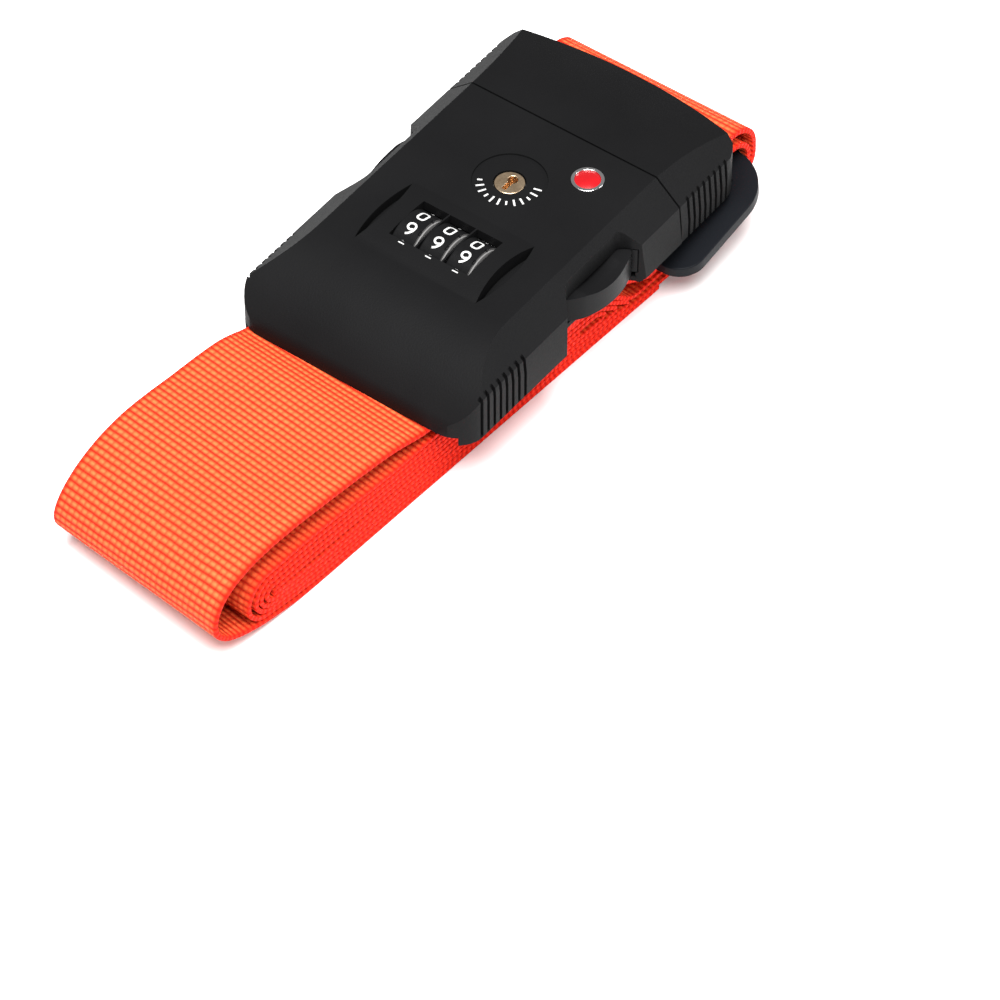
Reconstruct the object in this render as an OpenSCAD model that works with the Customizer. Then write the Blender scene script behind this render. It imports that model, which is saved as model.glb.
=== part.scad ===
// Luggage strap: 50 mm webbing rolled up under a three-dial combination buckle.
// Lock frame: x = 0 at the seam between housing and plug, +X towards the plug's free end,
// y = 0 on the lock's centre plane, z = 0 on the surface that the roll lies on.

/* [Webbing] */
// Width of the webbing
web_w = 50; // [40:0.5:52]
// Thickness of the webbing
web_t = 1.3; // [0.9:0.1:1.6]
// Turn of the roll under the lock, in degrees
web_yaw = -3.65; // [-5:0.05:-0.5]
// Sideways place of the webbing at the seam
web_y = -1.9; // [-2.5:0.1:1]
// Height of the rolled coil
roll_h = 15.1; // [12:0.1:20]
// Distance from the seam to the near nose of the coil
roll_near = 129; // [115:1:160]
// Distance from the seam to the near fold of the outer wrap
wrap_near = 143.5; // [136:0.5:175]
// Sideways place of the webbing loop on the plug
plug_web_y = -1.9; // [-2.6:0.1:1]

/* [Lock body] */
// Length of the female housing, front wall to seam
housing_len = 78.8; // [76:0.1:96]
// Length of the plug's visible head, seam to far end
plug_len = 26.5; // [26:0.1:34]
// Width of the lock at its base
lock_w = 65.4; // [64:0.1:70]
// Height of the lock from its base to its flat top
lock_h = 17.2; // [16.6:0.1:20]
// Width of the flat top
top_w = 50.4; // [48:0.1:54]
// Height of the shoulder where the side facet starts
shoulder_h = 11.5; // [10.8:0.1:12]
// Draft of each side wall, base to shoulder
draft = 1; // [0.4:0.1:1.2]
// Wall of the shells
wall = 1.8; // [1.4:0.1:2]
// How much narrower the lock is at its front, on each side
front_in = 0.9; // [0.2:0.1:1.4]
// Corner radius in plan at the front
front_r = 7.5; // [5:0.5:9]
// Corner radius in plan at the far end
end_r = 12; // [8:0.5:13]
// Radius of the bow of the far end in plan
bow_r = 110; // [90:5:200]
// Radius of the long rounding over the front
nose_r = 29.3; // [27:0.1:40]
// Radius of the shallow rounding over the plug
tail_r = 130; // [125:1:200]

/* [Dials] */
// Radius of a number wheel
wheel_r = 7.6; // [7:0.1:8]
// Width of a number wheel
wheel_w = 6.3; // [5:0.1:6.5]
// Spacing of the wheels
wheel_pitch = 7.3; // [7.2:0.1:7.6]
// How far the wheels stand above the flat top
wheel_proud = 2.1; // [1.5:0.1:2.4]
// Distance from the seam to the wheel shaft
dial_back = 43.7; // [42:0.1:45]
// Radius of the wheel shaft
shaft_r = 1.5; // [1.2:0.1:1.8]

/* [Key lock and lens] */
// Distance from the seam to the key cylinder
key_back = 19.8; // [18:0.1:21]
// Radius of the rotating key plug
key_r = 3.45; // [3:0.05:3.6]
// Radius of the sunk ring round the key plug
key_ring_r = 8.5; // [7:0.1:9]
// Radius of the red indicator lens
lens_r = 2.9; // [2:0.1:3.2]

/* [Release arms] */
// Distance from the seam back to the far end of the thumb pad
pad_end = 36.3; // [35:0.1:37]
// Length of the thumb pad
pad_len = 21.3; // [18:0.1:21.6]
// Reach of the thumb pad from the centre plane
pad_reach = 31; // [30:0.1:31.2]
// Height of an arm
arm_h = 6.6; // [5:0.1:7]
// Distance from the seam to the arm's pivot
pivot_fwd = 5.7; // [5:0.1:7]
// Radius of the arm's pivot pin
pivot_r = 1.2; // [1:0.1:1.4]

/* [Slider] */
// Width of the slider, end to end
slider_w = 67; // [62:1:70]
// Length of the slider along the strap
slider_l = 36; // [34:0.5:38]
// Thickness of the slider
slider_t = 3; // [2.5:0.1:3.2]
// Tilt of the slider on the strap
slider_tilt = 8; // [6:0.5:9]

/* [Fits] */
// Running clearance of shafts and pins, on the radius
run_gap = 0.05; // [0.02:0.01:0.09]
// Gap between parts that slide past each other
slide_gap = 0.3; // [0.25:0.05:0.4]
// Gap between parts that are fixed face to face
seat_gap = 0.1; // [0.05:0.05:0.2]

/* [Hidden] */
$fn = 48;
eps = 0.01;

// place of the lock frame in the part's own frame
loop_end = 37.25;
slider_y = plug_web_y - 0.8;
lock_x = (wrap_near * cos(web_yaw) + web_w / 2 * sin(-web_yaw) - loop_end) / 2;
lock_y = (slider_w / 2 - slider_y - max(lock_w / 2,
    web_y + wrap_near * sin(-web_yaw) + web_w / 2 * cos(web_yaw) - 0.6)) / 2;

// levels
lock_z = 17;                              // underside of the lock
top_z = lock_z + lock_h;
shoulder_z = lock_z + shoulder_h;
floor_z = lock_z + 1.4;                   // inside face of the bottom cover
arm_z = floor_z + 1.7;                    // underside of the arms
arm_top = arm_z + arm_h;
roof_z = top_z - wall;

// places along x
front_x = -housing_len;
plug_x = 0.45;                            // plug's face at the seam
end_x = plug_x + plug_len;
dial_x = -dial_back;
dial_z = top_z + wheel_proud - wheel_r;
key_x = -key_back;
lens_x = -9.4;
lens_y = -13.6;
pad_x0 = -pad_end;
pad_x1 = pad_x0 + pad_len;
notch_x0 = pad_x0 - 8.7;
notch_x1 = pad_x1 + 2.6;
notch_y = top_w / 2 + 2;
pivot_y = 26.6;

base_y = lock_w / 2;
shoulder_y = base_y - draft;
facet_y = top_w / 2;
facet_deg = atan2(top_z - shoulder_z, shoulder_y - facet_y);

module place() translate([lock_x, lock_y, 0]) children();
module mirrored() {
    children();
    mirror([0, 1, 0]) children();
}
module rod_y(r, y0, y1) translate([0, y1, 0]) rotate([90, 0, 0]) cylinder(r = r, h = y1 - y0);
module box(x0, x1, y0, y1, z0, z1) translate([x0, y0, z0]) cube([x1 - x0, y1 - y0, z1 - z0]);

// ---- outer form of the lock, set in by t on every side
module round_rect(x0, x1, half_w, r0, r1) {
    translate([x0 + r0, -half_w]) square([x1 - r1 - x0 - r0, 2 * half_w]);
    translate([x0, -half_w + r0]) square([r0 + eps, 2 * (half_w - r0)]);
    translate([x1 - r1 - eps, -half_w + r1]) square([r1 + eps, 2 * (half_w - r1)]);
    for (s = [-1, 1]) {
        translate([x0 + r0, s * (half_w - r0)]) circle(r0);
        translate([x1 - r1, s * (half_w - r1)]) circle(r1);
    }
}
module cross_form(x0, x1, t) {
    low = [base_y - t, t > 0 ? lock_z - 1 : lock_z + 1.2];
    foot = [base_y - t - (t > 0 ? 0.01 : 1.2), t > 0 ? lock_z - 1.01 : lock_z - 0.01];
    mid = [shoulder_y - t, shoulder_z - t * tan((90 - facet_deg) / 2)];
    high = [facet_y - t * tan(facet_deg / 2), top_z - t];
    translate([x0, 0, 0]) rotate([90, 0, 90]) linear_extrude(x1 - x0)
        polygon([[-foot[0], foot[1]], foot, low, mid, high, [-high[0], high[1]], [-mid[0], mid[1]],
                 [-low[0], low[1]]]);
}
// side view: flat top with a circle arc falling to the front and another to the far end
nose_cx = front_x + sqrt(nose_r * nose_r - (nose_r - 11.7) * (nose_r - 11.7));
blend_r = 5;
blend_dx = nose_cx - front_x - blend_r;
blend_z = top_z - nose_r + sqrt((nose_r - blend_r) * (nose_r - blend_r) - blend_dx * blend_dx);
blend_deg = 180 - atan2(blend_z - top_z + nose_r, blend_dx);
module side_form(t) {
    blend = [for (i = [0:6]) let (a = 180 - (180 - blend_deg) * i / 6)
            [front_x + blend_r + (blend_r - t) * cos(a), blend_z + (blend_r - t) * sin(a)]];
    nose = concat(blend, [for (i = [1:20]) let (a = blend_deg - (blend_deg - 90) * i / 20)
            [nose_cx + (nose_r - t) * cos(a), top_z - nose_r + (nose_r - t) * sin(a)]]);
    tail = [for (i = [0:14]) let (a = 90 - i)
            [(tail_r - t) * cos(a) - 3, top_z - tail_r + (tail_r - t) * sin(a)]];
    rotate([90, 0, 0]) linear_extrude(2 * base_y + 2, center = true)
        polygon(concat([[nose[0][0], lock_z - 1]], nose, tail, [[tail[14][0], lock_z - 1]]));
}
module housing_plan(t) {
    r = front_r - min(t, 4);
    half = concat(arc([front_x + t + r, base_y - front_in - t - r], [r, r], 180, 90, 9),
                  [[-24, base_y - t], [t > 0 ? 5 : 0, base_y - t]]);
    polygon(concat(half, [for (i = [len(half) - 1:-1:0]) [half[i][0], -half[i][1]]]));
}
module housing_form(t) {
    intersection() {
        translate([0, 0, lock_z]) linear_extrude(lock_h + 1) housing_plan(t);
        cross_form(front_x - 1, 6, t);
        side_form(t);
    }
}
module plug_form(t) {
    intersection() {
        translate([0, 0, lock_z]) linear_extrude(lock_h + 1)
            round_rect(plug_x + t, end_x + 1 - t, base_y - 0.4 - t, 0.01, end_r - t);
        translate([end_x - bow_r, 0, 0]) cylinder(r = bow_r - t, h = 60, $fn = 240);
        cross_form(-1, end_x + 1, t);
        side_form(t);
    }
}
// thumb notch in plan, grown by g
module notch_plan(g) {
    rise = base_y + 0.6 - notch_y;
    polygon(concat([for (i = [0:10]) [notch_x0 - g + i, notch_y - g + rise * (1 + cos(18 * i)) / 2]],
                   [for (i = [0:10]) [notch_x1 - 5 + g + i / 2, notch_y - g + rise * (1 - cos(18 * i)) / 2]],
                   [[notch_x1 + g, base_y + 2], [notch_x0 - g, base_y + 2]]));
}
module notch_cut(g, z0, z1)
    mirrored() translate([0, 0, z0]) linear_extrude(z1 - z0) notch_plan(g);
module grip_grooves(x0, pitch, y) {
    for (i = [0:7]) mirrored() translate([x0 + i * pitch, y, lock_z + 0.4])
        rotate([1.5, 0, 0]) box(-0.45, 0.45, 0, 4, 0, lock_h);
}

// screw bosses of the housing and of the plug
boss_r = 2.6;
screw_r = 1.1;
screw_head_r = 2;
housing_bosses = [[front_x + 22, 24.5], [front_x + 22, -24.5], [-9, 17], [-9, -17]];
plug_bosses = [[plug_x + 5.6, 14], [plug_x + 5.6, -14]];

// ---- housing
window_x0 = dial_x - 5.6;
window_x1 = dial_x + 7;
field_rise = 1.2;                          // crown of the raised field round the dials
field_y = 16.5;
field_l = 22;
field_r = (field_l * field_l / 4 + field_rise * field_rise) / (2 * field_rise);
module raised_field() {
    intersection() {
        translate([dial_x, 0, top_z + field_rise - field_r]) rod_y(field_r, -field_y, field_y, $fn = 240);
        box(dial_x - field_l / 2, dial_x + field_l / 2, -field_y, field_y, roof_z, top_z + 3);
    }
}
// leaf-shaped finger recess at each end of the dial field
leaf_half = 1.5;
leaf_l = 21;
leaf_r = (leaf_l * leaf_l / 4 + leaf_half * leaf_half) / (2 * leaf_half);
module leaf_plan(g) {
    intersection() {
        translate([dial_x, field_y + leaf_r - leaf_half]) circle(leaf_r + g, $fn = 180);
        translate([dial_x, field_y - leaf_r + leaf_half]) circle(leaf_r + g, $fn = 180);
    }
}
bar_x = front_x + 7;                       // webbing bar in the front bay
bar_z = lock_z + 4.4;
bar_r = 1.7;
bay_y = 28.9;
saddle_in = [11, 13.4];                    // inner faces of the two shaft saddles, -Y and +Y
module shaft_saddles() {
    box(dial_x - 3.4, dial_x + 3.4, -saddle_in[0] - 1.6, -saddle_in[0], dial_z - 3.4, roof_z + 0.5);
    box(dial_x - 3.4, dial_x + 3.4, saddle_in[1], saddle_in[1] + 1.6, dial_z - 3.4, roof_z + 0.5);
}
module housing_shell() color("#1d1d1f") place() difference() {
    union() {
        difference() {
            housing_form(0);
            difference() {
                housing_form(wall);
                // wall round the notch, above the arms
                notch_cut(1.5, arm_top + slide_gap, top_z);
                // wall that closes the notch in front of the pad
                intersection() {
                    notch_cut(1.5, floor_z + seat_gap, arm_top + 1);
                    box(notch_x0 - 4, pad_x0 - 0.6, -base_y, base_y, lock_z, top_z);
                }
                // solid sides of the front bay
                box(front_x, front_x + 13, bay_y, base_y, lock_z - 1, top_z);
                box(front_x, front_x + 13, -base_y, -bay_y, lock_z - 1, top_z);
            }
        }
        raised_field();
        // rear wall of the front bay
        intersection() {
            housing_form(wall - 0.2);
            box(front_x + 13, front_x + 14.4, -base_y, base_y, lock_z + 1.5, top_z);
        }
        // webbing bar, turned with the webbing
        intersection() {
            translate([0, web_y, 0]) rotate([0, 0, web_yaw]) translate([bar_x, 0, bar_z])
                rod_y(bar_r, -bay_y - 6, bay_y + 6);
            housing_form(0.4);
        }
        shaft_saddles();
        // pockets under the finger recesses
        mirrored() translate([0, 0, roof_z - 1.5]) linear_extrude(wall + 0.6) leaf_plan(1.0);
        intersection() {
            housing_form(wall - 0.3);
            for (b = housing_bosses)
                translate([b[0], b[1], floor_z + seat_gap]) cylinder(r = boss_r, h = lock_h);
        }
        // rib that carries the detent spring
        box(leaf_x - 2.2, leaf_x - 1.2, -13, 13, roof_z - 2.6, roof_z + 0.5);
        // socket for the key barrel
        translate([key_x, 0, arm_top + 1]) cylinder(r = key_r + 3.2, h = roof_z - arm_top - 0.5);
    }
    // front slot for the webbing
    box(front_x - 1, front_x + 13, -bay_y, bay_y, lock_z - 1, lock_z + 2.3);
    notch_cut(0, lock_z - 1, top_z + 4);
    // dial windows
    for (i = [-1:1]) box(window_x0, window_x1, i * wheel_pitch - wheel_w / 2 - 0.3,
                         i * wheel_pitch + wheel_w / 2 + 0.3, roof_z - 1.5, top_z + 4);
    translate([dial_x, 0, dial_z]) rod_y(shaft_r + 0.02, -20, 20);
    // round clearance for the wheels under the roof
    for (i = [-1:1]) translate([dial_x, 0, dial_z])
        rod_y(wheel_r + slide_gap, i * wheel_pitch - wheel_w / 2 - 0.3, i * wheel_pitch + wheel_w / 2 + 0.3);
    mirrored() translate([0, 0, roof_z - 0.7]) linear_extrude(8) leaf_plan(0);
    // key bore and its sunk ring
    translate([key_x, 0, top_z - 0.5]) cylinder(r = key_ring_r, h = 3);
    translate([key_x, 0, lock_z]) cylinder(r = key_r + 0.25, h = lock_h + 2);
    translate([key_x, 0, arm_top]) cylinder(r = key_r + 2, h = roof_z - arm_top - 0.4);
    // seat of the lens
    translate([lens_x, lens_y, top_z - 1.1]) cylinder(r = lens_r + 0.9, h = 3);
    grip_grooves(front_x + 6.4, 2.16, base_y - front_in - 0.8);
    // channel in each side wall that the thumb pads pass through
    mirrored() box(pad_x1 - 3, 6, shoulder_y - wall - 2, pad_reach + 0.2,
                   arm_z - slide_gap, arm_top + slide_gap);
    for (b = housing_bosses) translate([b[0], b[1], lock_z]) cylinder(r = screw_r + 0.02, h = 7.5);
}
cover_gap = seat_gap;
module housing_cover() color("#1b1b1d") place() difference() {
    union() {
        difference() {
            intersection() {
                housing_form(wall + cover_gap);
                box(front_x + 14.6, -0.3, -base_y, base_y, lock_z, floor_z);
            }
            notch_cut(cover_gap, lock_z - 1, floor_z + 1);
        }
        // posts behind the latch springs
        mirrored() box(spring_x1 - 1.6, spring_x1, spring_y - 0.9, spring_y + 0.9,
                       floor_z - eps, floor_z + 1.9);
    }
    for (b = housing_bosses) {
        translate([b[0], b[1], lock_z - 1]) cylinder(r = screw_r + 0.15, h = 4);
        translate([b[0], b[1], lock_z - 1]) cylinder(r = screw_head_r + 0.1, h = 1.85);
    }
    translate([reset_x, 0, lock_z - 1]) cylinder(r = reset_r + run_gap, h = 4);
}
module screw(x, y, len) translate([x, y, lock_z + 0.05]) difference() {
    union() {
        cylinder(r = screw_head_r, h = 0.75);
        cylinder(r = screw_r, h = len);
    }
    box(-screw_head_r, screw_head_r, -0.25, 0.25, -1, 0.4);
    box(-0.25, 0.25, -screw_head_r, screw_head_r, -1, 0.4);
}
module cover_screws() color("silver") place() for (b = housing_bosses) screw(b[0], b[1], 7);
module plug_screws() color("silver") place() for (b = plug_bosses) screw(b[0], b[1], 8);

// ---- plug
plug_bar_x = end_x - 7.5;
plug_bar_z = lock_z + 6.6;
plug_bay_x = plug_x + 12.5;
plug_bay_y = 28.6;
module plug_shell() color("#1d1d1f") place() difference() {
    union() {
        difference() {
            plug_form(0);
            difference() {
                plug_form(wall);
                box(plug_bay_x, end_x, plug_bay_y, base_y, lock_z - 1, top_z);
                box(plug_bay_x, end_x, -base_y, -plug_bay_y, lock_z - 1, top_z);
            }
        }
        intersection() {
            plug_form(wall - 0.2);
            box(plug_bay_x - 1.4, plug_bay_x, -base_y, base_y, floor_z + 4.5, top_z);
        }
        intersection() {
            plug_form(wall - 0.3);
            for (b = plug_bosses) translate([b[0], b[1], floor_z + 4]) cylinder(r = boss_r, h = lock_h);
        }
        intersection() {
            translate([plug_bar_x, 0, plug_bar_z]) rod_y(bar_r, -base_y, base_y);
            plug_form(0.4);
        }
    }
    // mouth for the webbing at the far end, and open bay below
    box(end_x - 5.7, end_x + 4, -plug_bay_y, plug_bay_y, lock_z - 1, lock_z + 10.8);
    // the seam wall is open where the frame and the arms pass
    box(plug_x - 1, plug_x + wall + 1, -base_y + 2.2, base_y - 2.2, lock_z - 1, arm_top + 1.2);
    grip_grooves(plug_x + 2.9, 2.05, base_y - 1.3);
    for (b = plug_bosses) translate([b[0], b[1], lock_z]) cylinder(r = screw_r + 0.02, h = 8.5);
}
tongue_x = -21.5;
tongue_y = 8.5;
module plug_frame() color("#222224") place() difference() {
    union() {
        intersection() {
            plug_form(wall + seat_gap);
            box(plug_x, plug_bay_x - 1.6, -base_y, base_y, lock_z, floor_z + 3.9);
        }
        box(tongue_x, plug_x + 3, -tongue_y, tongue_y, floor_z + slide_gap, floor_z + 3.4);
        mirrored() translate([pivot_fwd, pivot_y, floor_z])
            cylinder(r = pivot_r, h = arm_top + 0.8 - floor_z);
    }
    // room for the arm eyes
    mirrored() box(plug_x - 1, pivot_fwd + 3.4, pivot_y - 6.5, base_y, arm_z - slide_gap, arm_top + 4);
    mirrored() box(plug_x - 1, plug_x + 1.6, pivot_y - 6.5, base_y, lock_z - 1, arm_top);
    for (b = plug_bosses) {
        translate([b[0], b[1], lock_z - 1]) cylinder(r = screw_r + 0.15, h = 8);
        translate([b[0], b[1], lock_z - 1]) cylinder(r = screw_head_r + 0.1, h = 1.85);
    }
    // lightening slot in the tongue
    box(tongue_x + 4, -5, -1.6, 1.6, lock_z, floor_z + 5);
}
// release arm: eye, beam, thumb pad and inner rib
pad_r = 21;                                // outer curve of the thumb pad
rib_x0 = pad_x0 + 3.6;
rib_x1 = rib_x0 + 2.6;
module arm_plan() {
    translate([pivot_fwd, pivot_y]) circle(2.7);
    // beam, wide behind the pad so that it fills the channel in the side wall
    polygon([[pivot_fwd - 1, pivot_y - 1.6], [pivot_fwd - 1, pivot_y + 1.6], [-2, 28.3],
             [-6, pad_reach - 0.1], [pad_x1 + 0.5, pad_reach - 0.1], [pad_x1 + 0.1, pad_reach - 0.6],
             [pad_x1 - 0.3, pad_reach - 1.6], [pad_x1 - 3, 28.4],
             [pad_x1 - 3, 25.6], [pad_x1, 25.4]]);
    intersection() {
        translate([pad_x0 + 12.3, pad_reach - pad_r]) circle(pad_r, $fn = 120);
        translate([pad_x0, 25.5]) square([pad_len, 8]);
    }
    translate([rib_x0, 21.5]) square([rib_x1 - rib_x0, 5]);
}
module release_arm() {
    difference() {
        translate([0, 0, arm_z]) linear_extrude(arm_h) arm_plan();
        translate([pivot_fwd, pivot_y, 0]) cylinder(r = pivot_r + run_gap, h = 60);
        // dished thumb face
        translate([(pad_x0 + pad_x1) / 2, 27.2, arm_top + 19]) sphere(r = 20.2, $fn = 64);
    }
}
module release_arm_left() color("#19191b") place() release_arm();
module release_arm_right() color("#19191b") place() mirror([0, 1, 0]) release_arm();

// ---- dials
hub_r = 3.4;
module number_wheel(i) color("#161616") place() translate([dial_x, i * wheel_pitch, dial_z]) difference() {
    union() {
        rod_y(wheel_r - 0.35, -wheel_w / 2, wheel_w / 2, $fn = 90);
        rod_y(wheel_r, -wheel_w / 2 + 0.35, wheel_w / 2 - 0.35, $fn = 90);
    }
    rod_y(hub_r + run_gap, -wheel_w, wheel_w);
    // ten detent grooves in the outer edge of one side
    for (k = [0:9]) rotate([0, k * 36, 0]) translate([wheel_r + 0.25, 0, 0])
        rod_y(0.7, -wheel_w / 2 - 1, -wheel_w / 2 + 0.9, $fn = 24);
    // key slot for the hub
    box(hub_r - 0.5, hub_r + 0.9, -wheel_w, wheel_w, -0.6, 0.6);
}
module number_wheel_1() number_wheel(1);
module number_wheel_2() number_wheel(0);
module number_wheel_3() number_wheel(-1);
module wheel_hub(i) color("#b9b9b4") place() translate([dial_x, i * wheel_pitch, dial_z]) difference() {
    union() {
        rod_y(hub_r, -wheel_w / 2, wheel_w / 2 + 0.4);
        box(hub_r - 0.6, hub_r + 0.75, -wheel_w / 2, wheel_w / 2, -0.5, 0.5);
    }
    rod_y(shaft_r + run_gap, -20, 20);
    // flat that lets the latch fall in
    box(-hub_r - 1, hub_r + 1, wheel_w / 2 - 0.9, wheel_w, -hub_r - 1, -hub_r + 0.9);
}
module wheel_hub_1() wheel_hub(1);
module wheel_hub_2() wheel_hub(0);
module wheel_hub_3() wheel_hub(-1);
module wheel_shaft() color("silver") place() translate([dial_x, 0, dial_z])
    rod_y(shaft_r, -saddle_in[0] - 2, saddle_in[1] + 2);

// helical spring of round wire, wound about +Z from z = 0
module coil_spring(r, wire, turns, len, steps = 14) {
    n = turns * steps;
    m = 8;
    pts = [for (i = [0:n]) for (k = [0:m - 1])
           let (a = 360 * i / steps, b = 360 * k / m, q = r + wire * cos(b))
           [q * cos(a), q * sin(a), wire + (len - 2 * wire) * i / n + wire * sin(b)]];
    side = [for (i = [0:n - 1]) for (k = [0:m - 1]) for (h = [0, 1])
            h == 0 ? [i * m + k, (i + 1) * m + k, (i + 1) * m + (k + 1) % m]
                   : [i * m + k, (i + 1) * m + (k + 1) % m, i * m + (k + 1) % m]];
    ends = [[for (k = [0:m - 1]) k], [for (k = [m - 1:-1:0]) n * m + k]];
    polyhedron(pts, concat(side, ends), convexity = 8);
}
module shaft_spring() color("silver") place()
    translate([dial_x, wheel_pitch + wheel_w / 2 + 0.55, dial_z]) rotate([-90, 0, 0])
        coil_spring(shaft_r + 0.75, 0.22, 3, saddle_in[1] - wheel_pitch - wheel_w / 2 - 0.65);

// leaf spring with one finger to each wheel
leaf_x = dial_x - wheel_r - 2;
module detent_spring() color("silver") place() {
    box(leaf_x - 1.1, leaf_x - 0.7, -13, 13, roof_z - 2.4, roof_z - 0.5);
    for (i = [-1:1]) translate([0, i * wheel_pitch + 2, 0]) rotate([90, 0, 0]) linear_extrude(4)
        band([[leaf_x - 0.9, roof_z - 2.2], [leaf_x + 1.4, dial_z], [leaf_x - 0.8, dial_z - 3.2]], 0.4);
}

// ---- latch plate: its wings slide in behind the ribs of the arms when a dial is off its number
latch_throw = 2.2;
latch_z = floor_z + 0.5;
latch_t = 1.4;
latch_x1 = key_x - 6.8;
spring_y = 11.6;
spring_x1 = dial_x - 2;
spring_l = 7;
wing_x1 = rib_x0 - slide_gap - latch_throw;
module latch_plate() color("#8f9194") place() difference() {
    union() {
        box(dial_x - 12.5, latch_x1, -13.6, 13.6, latch_z, latch_z + latch_t);
        mirrored() box(wing_x1 - 2.6, wing_x1, 13, 20.6, latch_z, latch_z + 2.6);
        box(latch_x1 - 1.2, latch_x1, -3, 3, latch_z, barrel_z - 0.6);
    }
    mirrored() box(spring_x1 - 1.6 - latch_throw - slide_gap, spring_x1 + spring_l + 0.1,
                   spring_y - 1.3, spring_y + 1.3, lock_z, latch_z + 3);
}
module latch_springs() color("silver") place() mirrored()
    translate([spring_x1 + 0.1, spring_y, latch_z + 0.75]) rotate([0, 90, 0])
        coil_spring(0.75, 0.18, 6, spring_l - 0.2, 10);

// ---- reset button in the bottom cover
reset_x = dial_x - 15.5;
reset_r = 1.6;
module reset_button() color("#111111") place() translate([reset_x, 0, lock_z]) {
    translate([0, 0, 0.2]) cylinder(r = reset_r, h = 2.4);
    translate([0, 0, floor_z - lock_z + 0.1]) cylinder(r = reset_r + 0.45, h = 0.6);
}

// ---- key lock
barrel_z = arm_top + 0.4;
module key_barrel() color("#8d8a80") place() translate([key_x, 0, barrel_z]) difference() {
    cylinder(r = key_r + 1.9, h = roof_z - barrel_z - 0.5);
    translate([0, 0, -1]) cylinder(r = key_r + run_gap, h = 20);
}
module key_plug() color("#c79a5b") place() translate([key_x, 0, 0]) difference() {
    union() {
        translate([0, 0, barrel_z - 0.6]) cylinder(r = key_r, h = top_z - 0.7 - barrel_z + 0.6);
        translate([0, 0, barrel_z - 1.6]) cylinder(r = 1.7, h = 2);
    }
    // keyway
    box(-2.3, 1.3, -0.55, 0.55, top_z - 6, top_z);
    translate([1.2, 0, top_z - 6]) cylinder(r = 1.15, h = 8);
}
module key_cam() color("#a9a9a4") place() translate([key_x, 0, barrel_z - 1.6]) difference() {
    union() {
        cylinder(r = 3, h = 0.9);
        box(-1.5, 1.5, 0, 4.3, 0, 0.9);
    }
    translate([0, 0, -1]) cylinder(r = 1.72, h = 4);
}
module cam_screw() color("silver") place() translate([key_x, 0, barrel_z - 2.1]) cylinder(r = 2.3, h = 0.45);
module indicator_bezel() color("#d8d8d8") place() translate([lens_x, lens_y, top_z - 1.05]) difference() {
    cylinder(r = lens_r + 0.85, h = 1.25);
    translate([0, 0, -1]) cylinder(r = lens_r + 0.05, h = 4);
}
module indicator_lens() color("#d3121c") place() translate([lens_x, lens_y, top_z - 1.05]) intersection() {
    cylinder(r = lens_r, h = 3);
    translate([0, 0, 1.45 - 8]) sphere(r = 8, $fn = 64);
}

// ---- webbing frame: along the roll, turned a little under the lock
module along_web() place() translate([0, web_y, 0]) rotate([0, 0, web_yaw]) children();
module web_extrude() rotate([90, 0, 0]) linear_extrude(web_w, center = true) children();
// band of thickness t along a polyline in the side view
function unit(v) = v / norm(v);
function left_of(v) = [-v[1], v[0]];
function corner_normal(p, i) = let (n = len(p) - 1,
    a = i == 0 ? unit(p[1] - p[0]) : unit(p[i] - p[i - 1]),
    b = i == n ? unit(p[n] - p[n - 1]) : unit(p[i + 1] - p[i]),
    m = unit(left_of(a + b))) m / max(0.5, m * left_of(a));
function arc(c, r, a0, a1, n) = [for (i = [0:n]) let (a = a0 + (a1 - a0) * i / n)
    c + [r[0] * cos(a), r[1] * sin(a)]];
module band(p, t) polygon(concat([for (i = [0:len(p) - 1]) p[i] + corner_normal(p, i) * t / 2],
                                 [for (i = [len(p) - 1:-1:0]) p[i] - corner_normal(p, i) * t / 2]));

// tight coil: a flat roll that thins out under the plug
coil_z0 = web_t + 0.15;
taper_x0 = -20.2;
taper_x1 = -7.2;
tail_h = 5.4;
coil_end = 11.5;
module webbing_coil() color("#ff6a2b") along_web() web_extrude() {
    h = (roll_h - coil_z0) / 2;
    q = (tail_h - coil_z0) / 2;
    polygon(concat(arc([h - roll_near, coil_z0 + h], [h, h], 90, 270, 28),
                   arc([coil_end - q, coil_z0 + q], [q, q], -90, 90, 20),
                   [[taper_x1, tail_h], [taper_x0, roll_h]]));
}
// outer wrap: from the housing's bar out of the front slot, round the near fold, along the floor
slot_z = lock_z + 1.15;
wrap_top = roll_h + 7;
wrap_bend = 11.4;
wrap_path = concat(
    arc([bar_x, bar_z], [bar_r + web_t / 2 + 0.1, bar_r + web_t / 2 + 0.1], 170, -90, 20),
    [[bar_x - 4, slot_z + 0.1], [front_x - 1.5, slot_z], [front_x - 9, slot_z + 0.1],
     [(front_x - 9 - wrap_near + 24) / 2, (slot_z + wrap_top) / 2 + 0.1], [-wrap_near + 24, wrap_top - 0.4]],
    arc([-wrap_near + wrap_bend + web_t / 2, (wrap_top + web_t / 2) / 2],
        [wrap_bend, (wrap_top - web_t / 2) / 2], 90, 270, 24),
    [[4, web_t / 2]]);
module webbing_wrap() color("#ff6a2b") along_web() web_extrude() band(wrap_path, web_t);

// ---- slider: a flat frame with two slots and three bars, tilted under the plug
slider_c = [15.4, 12.6];
centre_bar = 5.5;
slot_l = 7.5;
slot_w = web_w + 2;
function on_slider(a, b) = slider_c + a * [cos(slider_tilt), sin(slider_tilt)]
    + b * [-sin(slider_tilt), cos(slider_tilt)];
module slider() color("#1c1c1e") place() translate([slider_c[0], slider_y, slider_c[1]])
    rotate([0, -slider_tilt, 0]) translate([0, 0, -slider_t / 2]) linear_extrude(slider_t) difference() {
        round_rect(-slider_l / 2, slider_l / 2, slider_w / 2, 6.5, 12);
        for (s = [-1, 1]) translate([s * (centre_bar + slot_l) / 2, 0])
            square([slot_l, slot_w], center = true);
    }
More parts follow.
